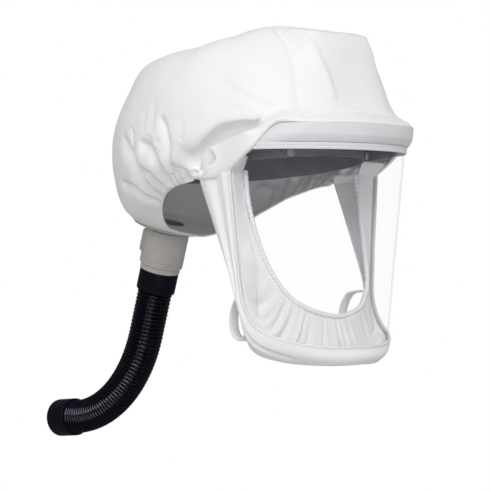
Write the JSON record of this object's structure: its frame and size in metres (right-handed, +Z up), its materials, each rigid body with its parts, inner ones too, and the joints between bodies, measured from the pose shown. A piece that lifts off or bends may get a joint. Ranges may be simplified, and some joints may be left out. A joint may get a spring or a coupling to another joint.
{
  "type": "respirator hood",
  "caption": "White cloth respirator hood with a clear curved visor, gathered face seal, headband, and a nape air inlet with a corrugated hose.",
  "frame": {"origin": "middle of the headband ring, on the mid-plane, where a head carries the hood", "axes": "+Z up, -Y the way the face looks, +X the wearer's left"},
  "size_m": [0.2078, 0.4216, 0.3704],
  "materials": {
    "hood_cloth": "white non-woven cloth, matt",
    "brow_cloth": "white cloth over a stiff strip, matt",
    "visor_film": "clear flexible film",
    "elastic": "covered elastic",
    "band_plastic": "dark grey moulded plastic",
    "stud_plastic": "light grey moulded plastic",
    "arm_plastic": "violet-grey moulded plastic",
    "inlet_plastic": "warm grey moulded plastic",
    "button_plastic": "warm grey moulded plastic",
    "cuff_plastic": "satin black plastic",
    "hose_rubber": "glossy black corrugated rubber"
  },
  "bodies": {
    "hood": {"crown": "hood_cloth", "brow_band": "brow_cloth", "visor_binding": "hood_cloth", "visor": "visor_film", "cheek_skirt": "hood_cloth", "skirt_loop_right": "hood_cloth", "skirt_loop_left": "hood_cloth", "face_seal": "hood_cloth", "face_elastic": "elastic", "headband": "band_plastic", "band_stud_right": "stud_plastic", "band_stud_left": "stud_plastic", "harness_arm_right": "arm_plastic", "harness_arm_left": "arm_plastic", "inlet_flange": "inlet_plastic", "inlet_socket": "inlet_plastic", "hose_cuff": "cuff_plastic", "hose": "hose_rubber", "hose_end_cuff": "cuff_plastic"},
    "button": {"release_button": "button_plastic"}
  },
  "joints": [
    {"name": "button_press", "type": "slide", "parent": "hood", "child": "button", "axis": [0, -0.9527, -0.304], "range_m": [0, 0.002], "stiffness_N_per_m": 400}
  ]
}
